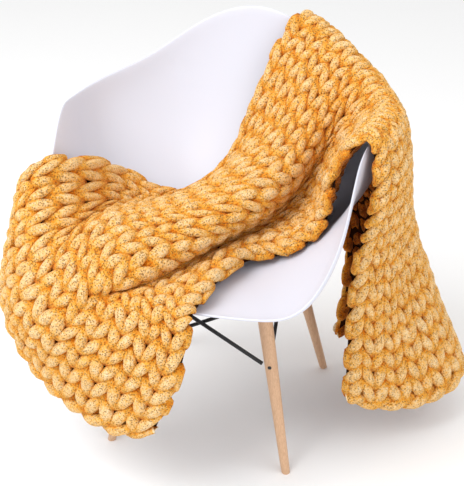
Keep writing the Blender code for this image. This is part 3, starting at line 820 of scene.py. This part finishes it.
class ChairSettings(bpy.types.PropertyGroup):
    """Colours of the chair."""
    shell_color: bpy.props.FloatVectorProperty(
        name="Shell Color", subtype="COLOR", size=3, min=0, max=1,
        default=linear("#DCDEEA")[:3],
        description="Colour of the moulded shell")
    wood_color: bpy.props.FloatVectorProperty(
        name="Wood Color", subtype="COLOR", size=3, min=0, max=1,
        default=linear("#DDB48F")[:3], description="Pale part of the grain")
    grain_color: bpy.props.FloatVectorProperty(
        name="Grain Color", subtype="COLOR", size=3, min=0, max=1,
        default=linear("#C29672")[:3], description="Dark part of the grain")
    steel_color: bpy.props.FloatVectorProperty(
        name="Steel Color", subtype="COLOR", size=3, min=0, max=1,
        default=linear("#1B1B1D")[:3],
        description="Colour of the coated plate and rods")
    rubber_color: bpy.props.FloatVectorProperty(
        name="Rubber Color", subtype="COLOR", size=3, min=0, max=1,
        default=linear("#222222")[:3], description="Colour of the mounts")


class StudioSettings(bpy.types.PropertyGroup):
    """Camera, floor and lights."""
    azimuth: bpy.props.FloatProperty(
        name="Camera Azimuth", default=math.radians(16), unit="ROTATION",
        description="Turn of the camera round the chair")
    elevation: bpy.props.FloatProperty(
        name="Camera Elevation", default=math.radians(29), unit="ROTATION",
        description="Tilt of the camera above the floor")
    distance: bpy.props.FloatProperty(
        name="Camera Distance", default=2.1, unit="LENGTH",
        description="Distance from the camera to what it looks at")
    target: bpy.props.FloatVectorProperty(
        name="Camera Target", default=(-0.032, 0.002, 0.425),
        subtype="XYZ", unit="LENGTH",
        description="Point that the camera looks at")
    lens: bpy.props.FloatProperty(
        name="Focal Length", default=77.4, unit="CAMERA",
        description="Lens on a 36 mm sensor")
    floor_color: bpy.props.FloatVectorProperty(
        name="Floor Color", subtype="COLOR", size=3, min=0, max=1,
        default=linear("#FBFBFB")[:3], description="Colour of the floor")
    room_light: bpy.props.FloatProperty(
        name="Room Light", default=0.80, min=0,
        description="Strength of the even light from all round")
    key_power: bpy.props.FloatProperty(
        name="Key Power", default=88.0, min=0, unit="POWER",
        description="Power of the large soft lamp")


class BlanketSettings(bpy.types.PropertyGroup):
    """All the settings of the model."""
    knit: bpy.props.PointerProperty(type=KnitSettings)
    chair: bpy.props.PointerProperty(type=ChairSettings)
    studio: bpy.props.PointerProperty(type=StudioSettings)


# ---------------------------------------------------------------- operators
shared = {}


def draped_surface():
    """The draped surface, worked out once."""
    if "drape" not in shared:
        shared["drape"] = Drape()
    return shared["drape"]


def yarn_material(settings):
    """The yarn's material, made once."""
    if "yarn" not in shared:
        shared["yarn"] = chenille(settings)
    return shared["yarn"]


def lay_yarn(name, paths, scales, radius, settings, rounding):
    """Make yarn along flat paths, drape it and finish it as a piece."""
    flat_paths = []
    for path in paths:
        path = path.copy()
        path[:, 2] /= settings.flatten
        flat_paths.append(path)
    mesh = curve_tube(flat_paths, scales, radius, rounding)
    flat = mesh_vectors(mesh, "co")
    flat[:, 2] *= settings.flatten
    full = settings.depth + settings.yarn_radius * settings.flatten
    side = np.minimum(flat[:, 0], settings.flat_wide - flat[:, 0])
    end = np.minimum(flat[:, 1], settings.flat_long - flat[:, 1])
    # Painted light: the yarn is painted paler the further it stands out at the
    # front, darker behind, and paler near the panel's edge.
    painted_rim_light = np.clip(1 - np.minimum(side, end) / RIM_LIGHT_WIDTH, 0, 1)
    crown = np.clip(0.5 + 0.5 * flat[:, 2] / full + 0.35 * painted_rim_light, 0, 1)
    # The side that lies on the chair is pressed a little flatter.
    flat[:, 2] = np.where(flat[:, 2] < 0, BACK_PRESS * flat[:, 2],
                          flat[:, 2])
    # The cut pile stands out in uneven tufts, 4 to 9 mm across.
    tufts = np.array([sum(high * noise.noise((x * many, y * many, z * many))
                          for high, many in TUFTS)
                      for x, y, z in flat])
    flat = flat + mesh_vectors(mesh, "normal") * tufts[:, None]
    place = draped_surface().lay(flat, settings.flat_wide,
                                 settings.flat_long)
    mesh.vertices.foreach_set("co", place.astype(np.float32).ravel())
    layer = mesh.attributes.new("crown", "FLOAT", "POINT")
    layer.data.foreach_set("value", crown.astype(np.float32))
    mesh.update()
    return finish_piece(name, mesh, yarn_material(settings))


class BLANKET_OT_knit(bpy.types.Operator):
    """Knit the rows of stitches and lay them on the draped surface"""
    bl_idname = "blanket.knit"
    bl_label = "Knit the Rows"

    def execute(self, context):
        knit = context.scene.blanket.knit
        pieces = []
        starts = range(0, knit.rows, ROWS_PER_PIECE)
        for number, first in enumerate(starts, 1):
            last = min(first + ROWS_PER_PIECE, knit.rows)
            paths, scales = stitch_rows(knit, first, last)
            pieces.append(lay_yarn(f"knit_rows_{number}", paths, scales,
                                   knit.yarn_radius, knit, 4))
        shared["knit"] = pieces
        return {"FINISHED"}


class BLANKET_OT_edges(bpy.types.Operator):
    """Add the twisted cast-on and cast-off edges of the knit"""
    bl_idname = "blanket.edges"
    bl_label = "Finish the Ends"

    def execute(self, context):
        knit = context.scene.blanket.knit
        pieces = []
        inset = knit.side_margin * EDGE_INSET
        place = knit.end_margin * EDGE_PLACE
        for name, middle in (("cast_on_edge", place),
                             ("cast_off_edge", knit.flat_long - place)):
            x = np.linspace(inset, knit.flat_wide - inset, EDGE_STEPS)
            paths, scales = [], []
            for strand in (0, math.pi):
                angle = x / knit.edge_twist * 2 * math.pi + strand
                paths.append(np.stack(
                    [x, middle + (knit.edge_radius * EDGE_SPREAD
                                  * np.cos(angle)),
                     knit.edge_radius * EDGE_DEPTH * np.sin(angle)],
                    axis=1))
                scales.append(np.ones(len(x)))
            pieces.append(lay_yarn(name, paths, scales, knit.edge_radius,
                                   knit, 3))
        shared["edges"] = pieces
        return {"FINISHED"}


class BLANKET_OT_paint_pile_shade(bpy.types.Operator):
    """Work out how open the pile is, which sets the painted shade in its
    colour
    """
    bl_idname = "blanket.pile"
    bl_label = "Shade the Pile"

    def execute(self, context):
        pieces = shared["knit"] + shared["edges"]
        places, faces, count = [], [], 0
        for piece in pieces:
            mesh = piece.data
            places.append(mesh_vectors(mesh, "co"))
            corners = np.empty(len(mesh.loops), np.int32)
            mesh.loops.foreach_get("vertex_index", corners)
            starts = np.empty(len(mesh.polygons), np.int32)
            mesh.polygons.foreach_get("loop_start", starts)
            faces += [part.tolist() for part in
                      np.split(corners + count, starts[1:])]
            count += len(mesh.vertices)
        tree = BVHTree.FromPolygons(np.concatenate(places).tolist(), faces)
        tilts = [(0.0, 0.0)] + [(SHADE_RAY_TILT * math.cos(a),
                                 SHADE_RAY_TILT * math.sin(a))
                                for a in SHADE_RAY_TURNS]
        for piece, points in zip(pieces, places):
            mesh = piece.data
            out = mesh_vectors(mesh, "normal")
            side = np.cross(out, (0.31, 0.52, 0.79))
            side /= np.linalg.norm(side, axis=1, keepdims=True)
            other = np.cross(out, side)
            # Painted shade: the share of clear rays is kept, and the pile is
            # painted darker where it is small.
            clear = np.zeros(len(points))
            for a, b in tilts:
                ways = out + a * side + b * other
                ways /= np.linalg.norm(ways, axis=1, keepdims=True)
                begin = points + out * SHADE_RAY_START
                for index in range(len(points)):
                    hit = tree.ray_cast(begin[index], ways[index], SHADE_RAY_REACH)
                    clear[index] += (1.0 if hit[3] is None
                                     else hit[3] / SHADE_RAY_REACH)
            layer = mesh.attributes.new("painted_shade_openness", "FLOAT", "POINT")
            layer.data.foreach_set("value", (clear / len(tilts)).astype(
                np.float32))
        return {"FINISHED"}


class BLANKET_OT_gap_shadow_sheet(bpy.types.Operator):
    """Add the thin dark sheet of painted shadow that fills the knit's small
    gaps
    """
    bl_idname = "blanket.ground"
    bl_label = "Add the Ground Sheet"

    def execute(self, context):
        knit = context.scene.blanket.knit
        drape = draped_surface()
        grid = bmesh.new()
        bmesh.ops.create_grid(grid, x_segments=SHADOW_SHEET_WIDE,
                              y_segments=SHADOW_SHEET_LONG, size=0.5)
        inset = knit.side_margin * SHADOW_SHEET_INSET
        flat = np.array([v.co for v in grid.verts])
        flat[:, 0] = inset + (flat[:, 0] + 0.5) * (knit.flat_wide
                                                   - 2 * inset)
        flat[:, 1] = inset + (flat[:, 1] + 0.5) * (knit.flat_long
                                                   - 2 * inset)
        flat[:, 2] = SHADOW_SHEET_HEIGHT
        place = drape.lay(flat, knit.flat_wide, knit.flat_long)
        for vert, point in zip(grid.verts, place):
            vert.co = point
        bmesh.ops.solidify(grid, geom=grid.faces[:],
                           thickness=SHADOW_SHEET_THICK)
        bmesh.ops.recalc_face_normals(grid, faces=grid.faces[:])
        mesh = bpy.data.meshes.new("gap_shadow_sheet")
        grid.to_mesh(mesh)
        grid.free()
        ground = finish_piece("gap_shadow_sheet", mesh, painted_gap_shadow_material(knit))
        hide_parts("blanket")
        return {"FINISHED"}


class BLANKET_OT_chair(bpy.types.Operator):
    """Give the chair's parts their real finishes"""
    bl_idname = "blanket.chair"
    bl_label = "Finish the Chair"

    def execute(self, context):
        colors = context.scene.blanket.chair
        plastic = moulded_plastic(colors.shell_color)
        wood = beech(colors.wood_color, colors.grain_color)
        steel = powder_coat("black_powder_coated_steel", colors.steel_color,
                            0.45)
        rubber = powder_coat("black_moulded_rubber", colors.rubber_color,
                             0.75)
        finishes = (("chair_shell", plastic, "shell_plastic", SHELL_LEVELS),
                    ("leg_", wood, "leg_wood", 0),
                    ("seat_plate", steel, "steel", 0),
                    ("brace_", steel, "steel", 0),
                    ("mount_pad", rubber, "rubber", 0))
        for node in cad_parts:
            for start, finish, slot_name, levels in finishes:
                if node.startswith(start):
                    smooth_copy(node, finish, levels)
        return {"FINISHED"}


class BLANKET_OT_bolts(bpy.types.Operator):
    """Add the dome-headed bolts that hold the rods to the legs"""
    bl_idname = "blanket.bolts"
    bl_label = "Add the Bolts"

    def execute(self, context):
        colors = context.scene.blanket.chair
        steel = powder_coat("black_oxide_bolt_steel", colors.steel_color,
                            0.35)
        middle = sum(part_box("seat_plate"), Vector()) / 2
        for leg in ("front_left", "front_right", "rear_left", "rear_right"):
            low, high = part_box("leg_" + leg)
            away = Vector(((low.x + high.x) / 2 - middle.x,
                           (low.y + high.y) / 2 - middle.y, 0))
            # The leg leans out, so its middle line is found at the height.
            foot = Vector((low.x if away.x < 0 else high.x,
                           low.y if away.y < 0 else high.y, low.z))
            head = Vector((high.x if away.x < 0 else low.x,
                           high.y if away.y < 0 else low.y, high.z))
            foot -= Vector((math.copysign(FOOT_RADIUS, away.x),
                            math.copysign(FOOT_RADIUS, away.y), 0))
            head += Vector((math.copysign(HEAD_RADIUS, away.x),
                            math.copysign(HEAD_RADIUS, away.y), 0))
            out = Vector((0, math.copysign(1, away.y), 0))
            bolts = bmesh.new()
            for height in BOLT_HEIGHTS:
                share = (height - foot.z) / (head.z - foot.z)
                radius = FOOT_RADIUS + (HEAD_RADIUS - FOOT_RADIUS) * share
                center = foot.lerp(head, share)
                place = out.to_track_quat("Z", "Y").to_matrix().to_4x4()
                place.translation = center + out * (radius - BOLT_SUNK)
                made = bmesh.ops.create_cone(
                    bolts, cap_ends=True, segments=20, radius1=BOLT_RADIUS,
                    radius2=BOLT_TOP, depth=BOLT_TALL, matrix=place)
                rims = [edge for edge in bolts.edges
                        if edge.verts[0] in made["verts"]
                        and edge.is_manifold
                        and edge.calc_face_angle() > BOLT_SHARP]
                bmesh.ops.bevel(bolts, geom=rims, offset=BOLT_ROUND,
                                segments=3, profile=0.5, affect="EDGES",
                                material=-1)
            mesh = bpy.data.meshes.new("bolts_" + leg)
            bolts.to_mesh(mesh)
            bolts.free()
            finish_piece("bolts_" + leg, mesh, steel)
        return {"FINISHED"}


class BLANKET_OT_studio(bpy.types.Operator):
    """Set up the floor, the lights and the camera"""
    bl_idname = "blanket.studio"
    bl_label = "Set Up the Studio"

    def execute(self, context):
        studio = context.scene.blanket.studio
        grid = bmesh.new()
        bmesh.ops.create_grid(grid, x_segments=8, y_segments=8,
                              size=FLOOR_HALF)
        mesh = bpy.data.meshes.new("studio_floor")
        grid.to_mesh(mesh)
        grid.free()
        mat, _, shader = new_material("painted_studio_floor")
        shader.inputs["Base Color"].default_value = (
            tuple(studio.floor_color) + (1,))
        shader.inputs["Roughness"].default_value = 0.9
        mesh.materials.append(mat)
        floor = link(bpy.data.objects.new("studio_floor", mesh))

        world = bpy.data.worlds.new("studio_room")
        world.use_nodes = True
        back = world.node_tree.nodes["Background"]
        back.inputs["Color"].default_value = (1, 1, 1, 1)
        back.inputs["Strength"].default_value = studio.room_light
        context.scene.world = world

        aim = Vector(studio.target)
        for name, place, size, share in SOFTBOXES:
            lamp = bpy.data.lights.new(name, "AREA")
            lamp.energy = studio.key_power * share
            lamp.size = size
            lamp.color = (1.0, 1.0, 1.0)
            holder = link(bpy.data.objects.new(name, lamp))
            holder.location = place
            away = Vector(place) - aim
            holder.rotation_euler = away.to_track_quat("Z", "Y").to_euler()

        az, el = studio.azimuth, studio.elevation
        away = Vector((math.sin(az) * math.cos(el),
                       -math.cos(az) * math.cos(el), math.sin(el)))
        lens = bpy.data.cameras.new("camera")
        lens.lens = studio.lens
        lens.sensor_width = 36
        camera = link(bpy.data.objects.new("camera", lens))
        camera.location = aim + away * studio.distance
        camera.rotation_euler = away.to_track_quat("Z", "Y").to_euler()
        context.scene.camera = camera
        context.scene.view_settings.view_transform = "Standard"
        return {"FINISHED"}


class BLANKET_PT_panel(bpy.types.Panel):
    """Lists the steps that make the blanket and its chair"""
    bl_idname = "BLANKET_PT_panel"
    bl_label = "Chunky Knit Blanket"
    bl_space_type = "VIEW_3D"
    bl_region_type = "UI"
    bl_category = "Blanket"

    def draw(self, context):
        for step in OPERATORS:
            self.layout.operator(step.bl_idname)
        for group in ("knit", "chair", "studio"):
            box = self.layout.box()
            settings = getattr(context.scene.blanket, group)
            for name in settings.__annotations__:
                box.prop(settings, name)


GROUPS = (KnitSettings, ChairSettings, StudioSettings, BlanketSettings)
OPERATORS = (BLANKET_OT_knit, BLANKET_OT_edges, BLANKET_OT_paint_pile_shade,
             BLANKET_OT_gap_shadow_sheet, BLANKET_OT_chair, BLANKET_OT_bolts,
             BLANKET_OT_studio)


def register():
    for cls in GROUPS + OPERATORS + (BLANKET_PT_panel,):
        bpy.utils.register_class(cls)
    bpy.types.Scene.blanket = bpy.props.PointerProperty(type=BlanketSettings)


def unregister():
    del bpy.types.Scene.blanket
    for cls in reversed(GROUPS + OPERATORS + (BLANKET_PT_panel,)):
        bpy.utils.unregister_class(cls)


def main():
    register()
    bpy.ops.blanket.knit()
    bpy.ops.blanket.edges()
    bpy.ops.blanket.pile()
    bpy.ops.blanket.ground()
    bpy.ops.blanket.chair()
    bpy.ops.blanket.bolts()
    bpy.ops.blanket.studio()


if __name__ == "__main__":
    main()
